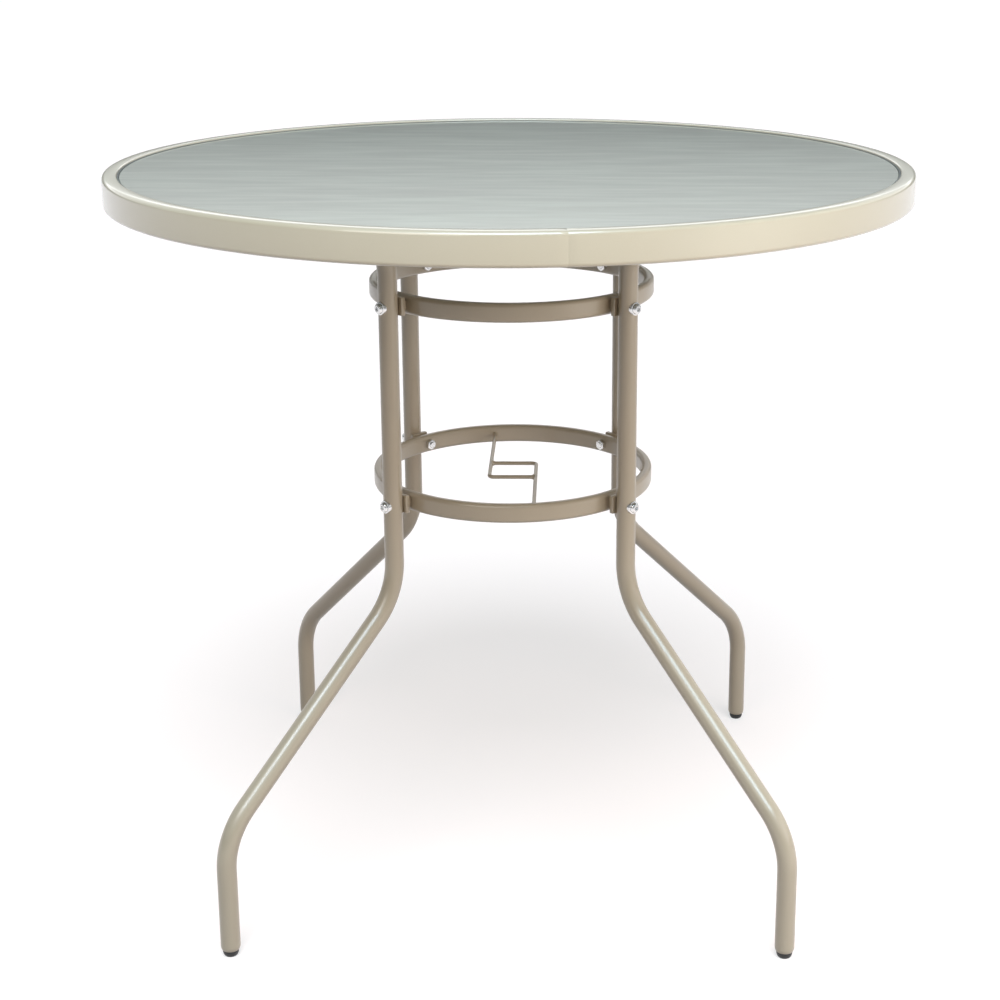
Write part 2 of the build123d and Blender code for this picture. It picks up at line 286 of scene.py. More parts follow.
frame_paint = powder_coat("frame_paint", FRAME_TINT, FRAME_SHADE, FRAME_ROUGHNESS, FRAME_GLOSS)
leg_tree = bent_tube_tree("bent_tube", frame_paint, TUBE_SIDES, TUBE_BEND_STEPS)
leg_sizes = {"Tube Diameter": TUBE_DIAMETER, "Bend Radius": TUBE_BEND}
for corner, angle in LEG_ANGLES.items():
    leg_shape = grown("bent_leg_" + corner, route("leg_route", leg_route()), leg_tree, leg_sizes)
    for vertex in leg_shape.vertices:
        if vertex.co.z > KNEE_HEIGHT and vertex.co.x > PRESS_START:
            vertex.co = pressed(vertex.co)
        elif vertex.co.z < FOOT_HEIGHT + ROLLED_LENGTH:
            vertex.co = rolled_in(vertex.co)
    leg_shape.transform(Matrix.Rotation(math.radians(angle), 4, "Z"))
    settle(placed("bent_leg_" + corner, leg_shape), "frame_paint", "leg_" + corner)


# Feet. Black moulded plugs pushed into the lower ends of the legs, each with a domed head that the table
# slides on and a stem that grips inside the tube.
FOOT_PAD_RADIUS = 0.0050
FOOT_HEAD_RADIUS = 0.0078
FOOT_DOME_HEIGHT = 0.0055
FOOT_GATE_RADIUS = 0.0012
FOOT_GATE_DEPTH = 0.0004
FOOT_GATE_FLARE = 1.3
FOOT_STEM_RADIUS = 0.0073
FOOT_STEM_TOP = 0.020
FOOT_SIDES = 64
DOME_STEPS = 10
FOOT_BLACK = (0.012, 0.012, 0.013, 1)
FOOT_GREY = (0.022, 0.022, 0.023, 1)
FOOT_ROUGHNESS = (0.35, 0.5)
FOOT_GRAIN = 900.0
MOULDED_CLOUDS = 60.0
GRAIN_STRENGTH = 0.15
GRAIN_DEPTH = 0.0003


def circle(radius, height, count):
    """A level ring of points about the Z axis."""
    turns = [2 * math.pi * step / count for step in range(count)]
    return [(radius * math.cos(turn), radius * math.sin(turn), height) for turn in turns]


def skinned(rings, closed=False):
    """Points and faces of a skin over rings of equal count, capped at its ends or, if closed, joined."""
    count = len(rings[0])
    points = [point for ring in rings for point in ring]
    faces = []
    for ring in range(len(rings) if closed else len(rings) - 1):
        low = ring * count
        high = (ring + 1) % len(rings) * count
        for side in range(count):
            after = (side + 1) % count
            faces.append((low + side, low + after, high + after, high + side))
    if not closed:
        faces.append(tuple(range(count)))
        faces.append(tuple(range(len(points) - count, len(points))))
    return points, faces


def shelled(name, finish, *shells):
    """A mesh of closed shells, each given as its points and faces."""
    points = []
    faces = []
    for shell_points, shell_faces in shells:
        faces += [tuple(index + len(points) for index in face) for face in shell_faces]
        points += shell_points
    shape = bpy.data.meshes.new(name)
    shape.from_pydata(points, [], faces)
    shape.materials.append(finish)
    return shape


def moulded(name, dark, pale, roughness, grain):
    """Moulded plastic or extruded rubber: two close dark tints in soft clouds, and a faint grain."""
    finish, tree, shader = finish_named(name)
    clouds = pattern(tree, MOULDED_CLOUDS, detail=3)
    grains = pattern(tree, grain, detail=2)
    tree.links.new(between(tree, clouds, dark, pale), shader.inputs["Base Color"])
    tree.links.new(spread(tree, clouds, *roughness), shader.inputs["Roughness"])
    tree.links.new(relief(tree, grains, GRAIN_STRENGTH, GRAIN_DEPTH), shader.inputs["Normal"])
    return finish


def pattern_tree(name, finish):
    """A tree that sets a copy of a piece at each seat, its X axis turned away from the table's axis."""
    tree, sizes = new_tree(name, {"Piece": "Object"})
    piece = add(tree, "GeometryNodeObjectInfo", As_Instance=True)
    seat = add(tree, "GeometryNodeInputPosition")
    turn = add(tree, "FunctionNodeAlignRotationToVector")
    turn.axis = "X"
    turn.pivot_axis = "Z"
    copies = add(tree, "GeometryNodeInstanceOnPoints")
    tree.links.new(sizes["Piece"], piece.inputs["Object"])
    tree.links.new(seat.outputs["Position"], turn.inputs["Vector"])
    tree.links.new(sizes["Shape"], copies.inputs["Points"])
    tree.links.new(piece.outputs["Geometry"], copies.inputs["Instance"])
    tree.links.new(turn.outputs["Rotation"], copies.inputs["Rotation"])
    end_tree(tree, copies.outputs["Instances"], finish)
    return tree


def at_corners(name, finish, shape, radius, heights):
    """A piece's mesh, made with its seat at the origin, set at every leg's corner and at each height."""
    seats = []
    for height in heights:
        for angle in LEG_ANGLES.values():
            turn = math.radians(angle)
            seats.append((radius * math.cos(turn), radius * math.sin(turn), height))
    start = bpy.data.meshes.new(name + "_seats")
    start.from_pydata(seats, [], [])
    piece = placed(name + "_one", shape)
    copies = grown(name, start, pattern_tree(name, finish), {"Piece": piece})
    bpy.data.objects.remove(piece)
    return placed(name, copies)


def at_each_corner(node):
    """The names of a CAD node that every corner has one of."""
    return [node + "_" + corner for corner in LEG_ANGLES]


foot_plastic = moulded("foot_plastic", FOOT_BLACK, FOOT_GREY, FOOT_ROUGHNESS, FOOT_GRAIN)
foot_outline = [(FOOT_GATE_RADIUS, FOOT_GATE_DEPTH), (FOOT_GATE_RADIUS * FOOT_GATE_FLARE, 0)]
for step in range(DOME_STEPS + 1):
    turn = math.pi / 2 * step / DOME_STEPS
    dome_radius = FOOT_PAD_RADIUS + (FOOT_HEAD_RADIUS - FOOT_PAD_RADIUS) * math.sin(turn)
    foot_outline.append((dome_radius, FOOT_DOME_HEIGHT * (1 - math.cos(turn))))
foot_outline += [
    (FOOT_HEAD_RADIUS, FOOT_HEIGHT),
    (FOOT_STEM_RADIUS, FOOT_HEIGHT),
    (FOOT_STEM_RADIUS, FOOT_STEM_TOP),
]
foot_shell = skinned([circle(radius, height, FOOT_SIDES) for radius, height in foot_outline])
foot_shape = shelled("foot_plug", foot_plastic, foot_shell)
feet = at_corners("foot_plugs", foot_plastic, foot_shape, FOOT_RADIUS, [0])
settle(feet, "foot_plastic", *at_each_corner("foot"))


# Hoops. Two rings rolled from flat-sided steel tube with rounded corners, bolted inside the four legs to
# hold them together, and powder coated with the legs.
HOOP_RADIUS = 0.140
HOOP_THICKNESS = 0.010
HOOP_DEPTH = 0.019
HOOP_CORNER = 0.004
HOOP_SEGMENTS = 256
HOOP_CORNER_STEPS = 7


def hoop_tree(name, finish):
    """A tree that rolls a rounded flat section into a level ring at a height."""
    hoop_inputs = ("Ring Radius", "Thickness", "Depth", "Corner", "Height")
    tree, sizes = new_tree(name, dict.fromkeys(hoop_inputs, "Float"))
    ring = add(tree, "GeometryNodeCurvePrimitiveCircle", Resolution=HOOP_SEGMENTS)
    flat = add(tree, "GeometryNodeCurvePrimitiveQuadrilateral")
    section = add(tree, "GeometryNodeFilletCurve")
    section.mode = "POLY"
    section.inputs["Count"].default_value = HOOP_CORNER_STEPS
    rolled = add(tree, "GeometryNodeCurveToMesh")
    lift = add(tree, "ShaderNodeCombineXYZ")
    lifted = add(tree, "GeometryNodeTransform")
    tree.links.new(sizes["Ring Radius"], ring.inputs["Radius"])
    tree.links.new(sizes["Thickness"], flat.inputs["Width"])
    tree.links.new(sizes["Depth"], flat.inputs["Height"])
    tree.links.new(flat.outputs["Curve"], section.inputs["Curve"])
    tree.links.new(sizes["Corner"], section.inputs["Radius"])
    tree.links.new(ring.outputs["Curve"], rolled.inputs["Curve"])
    tree.links.new(section.outputs["Curve"], rolled.inputs["Profile Curve"])
    tree.links.new(sizes["Height"], lift.inputs["Z"])
    tree.links.new(rolled.outputs["Mesh"], lifted.inputs["Geometry"])
    tree.links.new(lift.outputs["Vector"], lifted.inputs["Translation"])
    end_tree(tree, lifted.outputs["Geometry"], finish)
    return tree


def middle_height(node):
    """The height of a CAD node's middle."""
    low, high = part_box(node)
    return (low.z + high.z) / 2


rolled_hoop_tree = hoop_tree("rolled_hoop", frame_paint)
hoop_heights = [middle_height("upper_hoop"), middle_height("lower_hoop")]
for hoop, hoop_height in zip(("upper_hoop", "lower_hoop"), hoop_heights):
    hoop_sizes = {"Ring Radius": HOOP_RADIUS, "Thickness": HOOP_THICKNESS, "Depth": HOOP_DEPTH}
    hoop_sizes |= {"Corner": HOOP_CORNER, "Height": hoop_height}
    hoop_shape = grown("rolled_" + hoop, bpy.data.meshes.new("hoop_start"), rolled_hoop_tree, hoop_sizes)
    settle(placed("rolled_" + hoop, hoop_shape), "frame_paint", hoop)


# Guide wires. Two bent steel wires in the lower hoop, one welded to its back and one to its front, make
# a small square that keeps a pole upright. Each free end is welded to the side of the other wire.
WIRE_DIAMETER = 0.004
WIRE_BEND = 0.005
WIRE_SIDES = 32
WIRE_BEND_STEPS = 10
GUIDE_HALF = 0.024
WELD_REACH = 0.0045
WELD_SINK = 0.0015
WELD_FLARE = 0.0024
WELD_STEPS = 9
WELD_SIDES = 28
WELD_WOBBLE = 0.0005
WELD_LUMPS = 420


def weld_fillet(face, away, radius):
    """A weld's flared collar round a wire, from the face that it meets, lumpy as the puddle froze."""
    across = away.orthogonal().normalized()
    upright = away.cross(across)
    rings = []
    for step in range(WELD_STEPS + 1):
        share = step / WELD_STEPS
        middle = face + away * (share * WELD_REACH - WELD_SINK)
        ring = []
        for side in range(WELD_SIDES):
            turn = 2 * math.pi * side / WELD_SIDES
            out = across * math.cos(turn) + upright * math.sin(turn)
            flare = radius + WELD_FLARE * (1 - share) ** 2
            lump = WELD_WOBBLE * (1 - share) * noise.noise((middle + out * radius) * WELD_LUMPS)
            ring.append(tuple(middle + out * (flare + lump)))
        rings.append(ring)
    return skinned(rings)


hoop_inside = HOOP_RADIUS - HOOP_THICKNESS / 2
wire_height = middle_height("guide_wire_back")
wire_radius = WIRE_DIAMETER / 2
wire_reach = math.sqrt(hoop_inside**2 - GUIDE_HALF**2) + WELD_SINK
wire_points = [
    (-GUIDE_HALF, wire_reach, wire_height),
    (-GUIDE_HALF, -GUIDE_HALF, wire_height),
    (GUIDE_HALF - wire_radius, -GUIDE_HALF, wire_height),
]
wire_tree = bent_tube_tree("bent_wire", frame_paint, WIRE_SIDES, WIRE_BEND_STEPS)
wire_sizes = {"Tube Diameter": WIRE_DIAMETER, "Bend Radius": WIRE_BEND}
wire_welds = []
for side, angle in (("back", 0), ("front", 180)):
    wire_shape = grown("bent_wire_" + side, route("wire_route", wire_points), wire_tree, wire_sizes)
    half_turn = Matrix.Rotation(math.radians(angle), 4, "Z")
    wire_shape.transform(half_turn)
    settle(placed("bent_wire_" + side, wire_shape), "frame_paint", "guide_wire_" + side)
    hoop_end = half_turn @ Vector((-GUIDE_HALF, wire_reach - WELD_SINK, wire_height))
    wire_end = half_turn @ Vector(wire_points[-1])
    wire_welds.append(weld_fillet(hoop_end, half_turn @ Vector((0, -1, 0)), wire_radius))
    wire_welds.append(weld_fillet(wire_end, half_turn @ Vector((-1, 0, 0)), wire_radius))
guide_welds = placed("guide_welds", shelled("guide_welds", frame_paint, *wire_welds))
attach(guide_welds, "root")


# Saddles. Small cast plates between the legs and the hoops, hollowed to sit on the round tube, each on a
# short boss that holds the leg clear of the hoop. They are coated with the frame.
SADDLE_WIDTH = 0.020
SADDLE_HEIGHT = 0.018
SADDLE_THICKNESS = 0.005
SADDLE_SEAT_DEPTH = 0.001
SADDLE_ROUND = 0.0009
BOSS_WIDTH = 0.012
BOSS_HEIGHT = 0.009
BOSS_SINK = 0.0004
ARC_STEPS = 12
ROUND_STEPS = 3


def prism(outline, low, high):
    """Points and faces of an upright prism on an outline of (x, y) points."""
    return skinned([[(x, y, height) for x, y in outline] for height in (low, high)])


def eased(name, shape, width):
    """A mesh with its sharp edges rounded off."""
    blank = placed(name, shape)
    bevel = blank.modifiers.new("eased_edges", "BEVEL")
    bevel.width = width
    bevel.segments = ROUND_STEPS
    bevel.limit_method = "ANGLE"
    bevel.angle_limit = SMOOTH_ANGLE
    depsgraph = bpy.context.evaluated_depsgraph_get()
    rounded_shape = bpy.data.meshes.new_from_object(blank.evaluated_get(depsgraph))
    bpy.data.objects.remove(blank)
    return rounded_shape


tube_radius = TUBE_DIAMETER / 2
leg_inside = LEG_RADIUS - tube_radius
saddle_face = leg_inside + SADDLE_SEAT_DEPTH
saddle_back = saddle_face - SADDLE_THICKNESS
seat_half = math.sqrt(tube_radius**2 - (LEG_RADIUS - saddle_face) ** 2)
seat_turn = math.asin(seat_half / tube_radius)
plate_half = SADDLE_WIDTH / 2
plate_back = saddle_back - leg_inside
plate_face = saddle_face - leg_inside
plate_outline = [(plate_back, -plate_half), (plate_face, -plate_half)]
for step in range(ARC_STEPS + 1):
    turn = seat_turn * (2 * step / ARC_STEPS - 1)
    plate_outline.append((tube_radius * (1 - math.cos(turn)), tube_radius * math.sin(turn)))
plate_outline += [(plate_face, plate_half), (plate_back, plate_half)]
hoop_outside = HOOP_RADIUS + HOOP_THICKNESS / 2
boss_turn = math.asin(BOSS_WIDTH / 2 / hoop_outside)
boss_outline = [(saddle_back + BOSS_SINK - leg_inside, side * BOSS_WIDTH / 2) for side in (-1, 1)]
for step in range(ARC_STEPS + 1):
    turn = boss_turn * (1 - 2 * step / ARC_STEPS)
    boss_face = hoop_outside - BOSS_SINK
    boss_outline.append((boss_face * math.cos(turn) - leg_inside, boss_face * math.sin(turn)))
saddle_shape = shelled(
    "saddle_blank",
    frame_paint,
    prism(plate_outline, -SADDLE_HEIGHT / 2, SADDLE_HEIGHT / 2),
    prism(boss_outline, -BOSS_HEIGHT / 2, BOSS_HEIGHT / 2),
)
saddle_shape = eased("saddle_blank", saddle_shape, SADDLE_ROUND)
saddles = at_corners("leg_saddles", frame_paint, saddle_shape, leg_inside, hoop_heights)
settle(saddles, "frame_paint", *at_each_corner("upper_saddle"), *at_each_corner("lower_saddle"))


# Hoop bolts. Button-headed M6 bolts with a hexagon socket, bright zinc plated, put in from the outside
# through each leg, saddle and hoop. A little thread stands out of the nut inside the hoop.
BOLT_DIAMETER = 0.006
BOLT_HEAD_RADIUS = 0.00525
BOLT_HEAD_HEIGHT = 0.0033
BOLT_HEAD_EDGE = 0.0006
SOCKET_FLATS = 0.004
SOCKET_DEPTH = 0.0020
SOCKET_CHAMFER = 0.0002
SOCKET_DRILL = 0.0003
THREAD_PITCH = 0.001
THREAD_DEPTH = 0.00045
THREAD_POINTS = 3
THREAD_LEAD = 0.4
BOLT_TIP = 0.0015
BOLT_SIDES = 48
HEAD_STEPS = 8
ZINC_BRIGHT = (0.80, 0.80, 0.79, 1)
ZINC_DULL = (0.62, 0.63, 0.64, 1)
ZINC_ROUGHNESS = (0.14, 0.30)
ZINC_CLOUDS = 300.0
ZINC_SCRATCHES = 1500.0
ZINC_SCRATCH_STRETCH = (1, 1, 0.25)
ZINC_SCRATCH_STRENGTH = 0.10
ZINC_SCRATCH_DEPTH = 0.0001


def bright_zinc(name):
    """Electroplated zinc: bright metal with faint cloudy patches and fine scratches."""
    finish, tree, shader = finish_named(name)
    shader.inputs["Metallic"].default_value = 1
    clouds = pattern(tree, ZINC_CLOUDS, detail=4)
    scratches = pattern(tree, ZINC_SCRATCHES, detail=3, stretch=ZINC_SCRATCH_STRETCH)
    scratched = relief(tree, scratches, ZINC_SCRATCH_STRENGTH, ZINC_SCRATCH_DEPTH)
    tree.links.new(between(tree, clouds, ZINC_DULL, ZINC_BRIGHT), shader.inputs["Base Color"])
    tree.links.new(spread(tree, clouds, *ZINC_ROUGHNESS), shader.inputs["Roughness"])
    tree.links.new(scratched, shader.inputs["Normal"])
    return finish


def axle_ring(radius_at, x, count):
    """A ring of points about the X axis, its radius given for each turn."""
    turns = [2 * math.pi * step / count for step in range(count)]
    return [(x, radius_at(turn) * math.cos(turn), radius_at(turn) * math.sin(turn)) for turn in turns]


def round_of(radius):
    """The same radius at every turn."""
    return lambda turn: radius


def hexagon_of(flats, limit=1.0):
    """A hexagon's radius at each turn, no further out than a limit."""
    sixth = math.pi / 3
    return lambda turn: min(limit, flats / 2 / math.cos((turn + sixth / 2) % sixth - sixth / 2))


def bolt_shell(length, thread_start):
    """A bolt along the X axis, head outwards, seated at the origin, threaded past thread_start."""
    shank = BOLT_DIAMETER / 2
    rings = [(round_of(shank - THREAD_DEPTH), -length)]
    turns = int((length - thread_start) / THREAD_PITCH)
    for step in range(turns * THREAD_POINTS):
        depth = THREAD_DEPTH if step % THREAD_POINTS == 1 else 0
        rings.append((round_of(shank - depth), THREAD_PITCH * (step / THREAD_POINTS + THREAD_LEAD) - length))
    rings += [(round_of(shank), -thread_start), (round_of(shank), 0), (round_of(BOLT_HEAD_RADIUS), 0)]
    socket_radius = SOCKET_FLATS / math.sqrt(3) + SOCKET_CHAMFER
    dome_rise = BOLT_HEAD_HEIGHT - BOLT_HEAD_EDGE
    for step in range(HEAD_STEPS + 1):
        turn = math.pi / 2 * step / HEAD_STEPS
        dome_radius = socket_radius + (BOLT_HEAD_RADIUS - socket_radius) * math.cos(turn)
        rings.append((round_of(dome_radius), BOLT_HEAD_EDGE + dome_rise * math.sin(turn)))
    rings.append((hexagon_of(SOCKET_FLATS), BOLT_HEAD_HEIGHT - SOCKET_CHAMFER))
    rings.append((hexagon_of(SOCKET_FLATS), BOLT_HEAD_HEIGHT - SOCKET_DEPTH))
    rings.append((round_of(SOCKET_DRILL), BOLT_HEAD_HEIGHT - SOCKET_DEPTH - SOCKET_DRILL))
    return skinned([axle_ring(radius_at, x, BOLT_SIDES) for radius_at, x in rings])


WASHER_CROWN = 0.0012
NUT_FLATS = 0.010
NUT_HEIGHT = 0.005
zinc = bright_zinc("zinc")
washer_face = LEG_RADIUS + tube_radius + WASHER_CROWN
nut_face = hoop_inside - NUT_FLATS**2 / (6 * hoop_inside)
hoop_bolt_length = washer_face - nut_face + NUT_HEIGHT + BOLT_TIP
hoop_bolt_shape = shelled("hoop_bolt_one", zinc, bolt_shell(hoop_bolt_length, washer_face - hoop_inside))
hoop_bolts = at_corners("zinc_hoop_bolts", zinc, hoop_bolt_shape, washer_face, hoop_heights)
settle(hoop_bolts, "zinc", "hoop_bolts")


# Curved washers. Pressed steel discs under the bolts' heads, hollowed to the round of the leg so that
# each head pulls up square. Zinc plated.
WASHER_RADIUS = 0.0065
WASHER_HOLE = 0.00325
WASHER_ROUND = 0.0004
WASHER_ROUND_MIDDLE = WASHER_ROUND * 0.3
WASHER_SIDES = 64


def tube_side(across):
    """The leg's outer surface at a distance from its middle plane, measured from the washer's flat face."""
    return LEG_RADIUS + math.sqrt(tube_radius**2 - across**2) - washer_face


def washer_ring(radius, x=None):
    """A ring of points on the washer: at a depth, or on the leg's surface where none is given."""
    ring = []
    for step in range(WASHER_SIDES):
        turn = 2 * math.pi * step / WASHER_SIDES
        across = radius * math.cos(turn)
        ring.append((tube_side(across) if x is None else x, across, radius * math.sin(turn)))
    return ring


washer_rings = [
    washer_ring(WASHER_HOLE, 0),
    washer_ring(WASHER_RADIUS - WASHER_ROUND, 0),
    washer_ring(WASHER_RADIUS - WASHER_ROUND_MIDDLE, -WASHER_ROUND_MIDDLE),
    washer_ring(WASHER_RADIUS, -WASHER_ROUND),
    washer_ring(WASHER_RADIUS),
    washer_ring(WASHER_HOLE),
]
washer_shape = shelled("washer_one", zinc, skinned(washer_rings, closed=True))
washers = at_corners("zinc_curved_washers", zinc, washer_shape, washer_face, hoop_heights)
settle(washers, "zinc", "hoop_bolt_washers")


# Hoop nuts. Plain hexagon nuts with chamfered corners, zinc plated, run up against the inside of the
# hoops on the bolts' threads.
NUT_FACE_RADIUS = 0.00475
NUT_CHAMFER_SLOPE = math.tan(math.radians(30))
NUT_CHAMFER_STEPS = 4
NUT_HOLE = 0.0029
NUT_COUNTERSINK = 0.0004
NUT_SIDES = 72


def nut_shell(height):
    """A nut along the X axis, its seat at the origin, the rest on the negative side."""
    corner_radius = NUT_FLATS / math.sqrt(3)
    chamfer = (corner_radius - NUT_FACE_RADIUS) * NUT_CHAMFER_SLOPE
    levels = []
    for step in range(NUT_CHAMFER_STEPS + 1):
        share = step / NUT_CHAMFER_STEPS
        limit = NUT_FACE_RADIUS + (corner_radius - NUT_FACE_RADIUS) * share
        levels.append((chamfer * share, limit))
    levels += [(height - depth, limit) for depth, limit in reversed(levels)]
    rings = [(hexagon_of(NUT_FLATS, limit), -depth) for depth, limit in levels]
    mouth = NUT_HOLE + NUT_COUNTERSINK
    rings += [(round_of(mouth), -height), (round_of(NUT_HOLE), NUT_COUNTERSINK - height)]
    rings += [(round_of(NUT_HOLE), -NUT_COUNTERSINK), (round_of(mouth), 0)]
    return skinned([axle_ring(radius_at, x, NUT_SIDES) for radius_at, x in rings], closed=True)


hoop_nut_shape = shelled("hoop_nut_one", zinc, nut_shell(NUT_HEIGHT))
hoop_nuts = at_corners("zinc_hoop_nuts", zinc, hoop_nut_shape, nut_face, hoop_heights)
settle(hoop_nuts, "zinc", "hoop_nuts")


# Table rim. A thin steel tube of a stepped section, rolled into a ring and welded end to end at the
# front, where the dressed joint still shows as a faint line under the cream powder coat.
RIM_LAND = 0.015
RIM_STEP = 0.011
RIM_REBATE = 0.008
RIM_CORNER = 0.004
RIM_SMALL_CORNER = 0.0015
RIM_INSIDE_CORNER = 0.0005
RIM_CORNER_STEPS = 8
RIM_SEGMENTS = 300
RIM_JOINT_ANGLE = 278.4
RIM_JOINT_WIDTH = 0.0012
RIM_JOINT_DEPTH = 0.00022
RIM_JOINT_STEPS = 6
RIM_TINT = (0.580, 0.503, 0.375, 1)
RIM_SHADE = (0.540, 0.462, 0.338, 1)
RIM_ROUGHNESS = (0.30, 0.40)
RIM_GLOSS = 1.0


def rounded_outline(corners, steps):
    """A closed outline with an arc at each corner, from corners given as x, y and corner radius."""
    outline = []
    for index, (x, y, radius) in enumerate(corners):
        corner = Vector((x, y))
        back = (Vector(corners[index - 1][:2]) - corner).normalized()
        ahead = (Vector(corners[(index + 1) % len(corners)][:2]) - corner).normalized()
        half = back.angle(ahead) / 2
        middle = corner + (back + ahead).normalized() * (radius / math.sin(half))
        first = corner + back * (radius / math.tan(half)) - middle
        sweep = first.angle_signed(corner + ahead * (radius / math.tan(half)) - middle)
        for step in range(steps + 1):
            turn = Matrix.Rotation(-sweep * step / steps, 2)
            outline.append(tuple(middle + turn @ first))
    return outline


def outline_normals(outline):
    """The way out of a closed outline at each of its points."""
    count = len(outline)
    normals = []
    for index in range(count):
        along = Vector(outline[(index + 1) % count]) - Vector(outline[index - 1])
        normals.append(Vector((along.y, -along.x)).normalized())
    return normals


rim_low, rim_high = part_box("table_rim")
rim_radius = rim_high.x
rim_land_radius = rim_radius - RIM_LAND
rim_inside = rim_land_radius - RIM_STEP
rim_floor = rim_high.z - RIM_REBATE
rim_corners = [
    (rim_radius, rim_low.z, RIM_CORNER),
    (rim_radius, rim_high.z, RIM_CORNER),
    (rim_land_radius, rim_high.z, RIM_SMALL_CORNER),
    (rim_land_radius, rim_floor, RIM_INSIDE_CORNER),
    (rim_inside, rim_floor, RIM_SMALL_CORNER),
    (rim_inside, rim_low.z, RIM_CORNER),
]
rim_outline = rounded_outline(rim_corners, RIM_CORNER_STEPS)
rim_normals = outline_normals(rim_outline)
joint_turn = math.radians(RIM_JOINT_ANGLE)
joint_half = RIM_JOINT_WIDTH / rim_radius
rim_sweep = 2 * math.pi - 2 * joint_half
rim_turns = [joint_turn + joint_half + rim_sweep * step / RIM_SEGMENTS for step in range(RIM_SEGMENTS)]
for step in range(RIM_JOINT_STEPS):
    rim_turns.append(joint_turn - joint_half + 2 * joint_half * step / RIM_JOINT_STEPS)
rim_rings = []
for turn in rim_turns:
    off_joint = (turn - joint_turn + math.pi) % (2 * math.pi) - math.pi
    dip = RIM_JOINT_DEPTH * max(0, 1 - (off_joint / joint_half) ** 2)
    ring = []
    for (radius, height), normal in zip(rim_outline, rim_normals):
        inset_radius = radius - normal.x * dip
        ring.append((inset_radius * math.cos(turn), inset_radius * math.sin(turn), height - normal.y * dip))
    rim_rings.append(ring)
rim_paint = powder_coat("rim_paint", RIM_TINT, RIM_SHADE, RIM_ROUGHNESS, RIM_GLOSS)
rim_shape = shelled("rolled_rim", rim_paint, skinned(rim_rings, closed=True))
settle(placed("rolled_rim", rim_shape), "rim_paint", "table_rim")


# Rim tabs. Four short steel plates welded to the inside of the rim, one under the flat end of each arm.
# A lumpy bead of weld runs along the top and bottom of the joint, coated over with the rim.
TAB_WIDTH = 0.030
TAB_START = 0.345
TAB_CORNER = 0.006
TAB_ROUND = 0.0004
TAB_CORNER_STEPS = 8
BEAD_RADIUS = 0.0020
BEAD_HALF = 0.0135
BEAD_STEPS = 40
BEAD_SIDES = 16
BEAD_RIPPLE_LENGTH = 0.0022
BEAD_RIPPLE_DEPTH = 0.15
BEAD_END = 0.04
BEAD_TAPER_POWER = 4


def weld_bead(radius_from_axis, height):
    """A rippled bead of weld along the rim's inner wall, tapered at its ends."""
    rings = []
    for step in range(BEAD_STEPS + 1):
        across = BEAD_HALF * (2 * step / BEAD_STEPS - 1)
        taper = math.sqrt(max(BEAD_END, 1 - (across / BEAD_HALF) ** BEAD_TAPER_POWER))
        swell = 1 - BEAD_RIPPLE_DEPTH * (1 - math.cos(2 * math.pi * across / BEAD_RIPPLE_LENGTH))
        size = BEAD_RADIUS * taper * swell
        out = math.sqrt(radius_from_axis**2 - across**2)
        ring = []
        for side in range(BEAD_SIDES):
            turn = 2 * math.pi * side / BEAD_SIDES
            ring.append((out + size * math.cos(turn) - TAB_START, across, height + size * math.sin(turn)))
        rings.append(ring)
    return skinned(rings)


tab_low, tab_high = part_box("rim_tab_front_left")
tab_thickness = tab_high.z - tab_low.z
tab_outline = []
for side in (-1, 1):
    middle_y = side * (TAB_WIDTH / 2 - TAB_CORNER)
    for step in range(TAB_CORNER_STEPS + 1):
        share = step / TAB_CORNER_STEPS if side > 0 else 1 - step / TAB_CORNER_STEPS
        turn = math.pi / 2 * share
        corner_y = middle_y + side * TAB_CORNER * math.sin(turn)
        tab_outline.append((TAB_CORNER * (1 - math.cos(turn)), corner_y))
tab_end_turn = math.asin(TAB_WIDTH / 2 / rim_inside)
for step in range(ARC_STEPS + 1):
    turn = tab_end_turn * (1 - 2 * step / ARC_STEPS)
    tab_outline.append((rim_inside * math.cos(turn) - TAB_START, rim_inside * math.sin(turn)))
tab_blank = shelled("tab_plate", rim_paint, prism(tab_outline, 0, tab_thickness))
tab_plate = eased("tab_plate", tab_blank, TAB_ROUND)
plate_points = [tuple(vertex.co) for vertex in tab_plate.vertices]
plate_faces = [tuple(face.vertices) for face in tab_plate.polygons]
tab_shape = shelled(
    "tab_one",
    rim_paint,
    (plate_points, plate_faces),
    weld_bead(rim_inside, 0),
    weld_bead(rim_inside, tab_thickness),
)
tabs = at_corners("welded_rim_tabs", rim_paint, tab_shape, TAB_START, [tab_low.z])
settle(tabs, "rim_paint", *at_each_corner("rim_tab"))


# Glass gasket. A strip of dark grey rubber that beds the glass in the rim's rebate, its lip just showing
# as a thin line round the edge of the glass.
GASKET_LIP = 0.0012
GASKET_ROUND = 0.0004
GASKET_SQUARE = 0.0001
GASKET_SEGMENTS = 300
GASKET_CORNER_STEPS = 4
GASKET_DARK = (0.120, 0.123, 0.116, 1)
GASKET_PALE = (0.150, 0.153, 0.144, 1)
GASKET_ROUGHNESS = (0.5, 0.65)
GASKET_GRAIN = 1200.0

